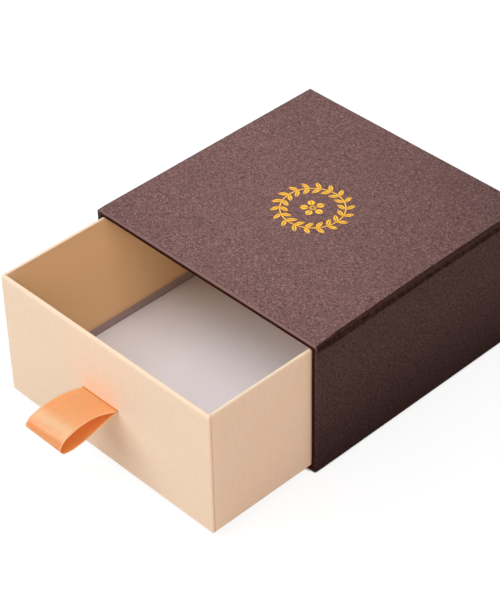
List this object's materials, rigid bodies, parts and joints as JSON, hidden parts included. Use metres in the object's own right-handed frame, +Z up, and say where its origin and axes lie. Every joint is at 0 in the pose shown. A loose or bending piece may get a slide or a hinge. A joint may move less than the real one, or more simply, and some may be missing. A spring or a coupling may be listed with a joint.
{
  "type": "sliding drawer gift box",
  "caption": "Rigid paper-covered gift box: a tray drawer with a ribbon pull slides in a closed-back sleeve.",
  "frame": {"origin": "middle of the sleeve's underside, on the surface that the box stands on", "axes": "+Z up, the drawer opens towards -Y, X is the width"},
  "size_m": [0.12, 0.1992, 0.0626],
  "materials": {
    "sleeve_board": "bare grey board",
    "kraft_tape": "kraft tape",
    "sleeve_paper": "textured dark brown paper",
    "gold_foil": "stamped gold-coloured foil",
    "drawer_board": "bare grey board",
    "drawer_paper": "smooth matt cream paper",
    "white_card": "matt white card",
    "ribbon": "satin ribbon"
  },
  "bodies": {
    "sleeve": {"sleeve_top_board": "sleeve_board", "sleeve_bottom_board": "sleeve_board", "sleeve_left_board": "sleeve_board", "sleeve_right_board": "sleeve_board", "sleeve_back_board": "sleeve_board", "sleeve_tape_top_left": "kraft_tape", "sleeve_tape_top_right": "kraft_tape", "sleeve_tape_bottom_left": "kraft_tape", "sleeve_tape_bottom_right": "kraft_tape", "sleeve_wrap": "sleeve_paper", "sleeve_back_sheet": "sleeve_paper", "sleeve_underside_sheet": "sleeve_paper", "foil_wreath": "gold_foil"},
    "drawer": {"drawer_front_board": "drawer_board", "drawer_back_board": "drawer_board", "drawer_left_board": "drawer_board", "drawer_right_board": "drawer_board", "drawer_bottom_board": "drawer_board", "drawer_tape_front_left": "kraft_tape", "drawer_tape_front_right": "kraft_tape", "drawer_tape_back_left": "kraft_tape", "drawer_tape_back_right": "kraft_tape", "drawer_wrap": "drawer_paper", "drawer_underside_sheet": "drawer_paper", "drawer_floor_card": "white_card", "ribbon_upper_tail": "ribbon", "ribbon_lower_tail": "ribbon", "ribbon_patch": "drawer_paper"},
    "ribbon": {"ribbon_loop": "ribbon"}
  },
  "joints": [
    {"name": "drawer_slide", "type": "slide", "parent": "sleeve", "child": "drawer", "axis": [0, -1, 0], "range_m": [-0.051, 0.07]},
    {"name": "ribbon_swing", "type": "hinge", "parent": "drawer", "child": "ribbon", "pos_m": [-0.0025, -0.1114, 0.03125], "axis": [1, 0, 0], "range_deg": [-55, 75], "stiffness_Nm_per_rad": 0.002}
  ]
}
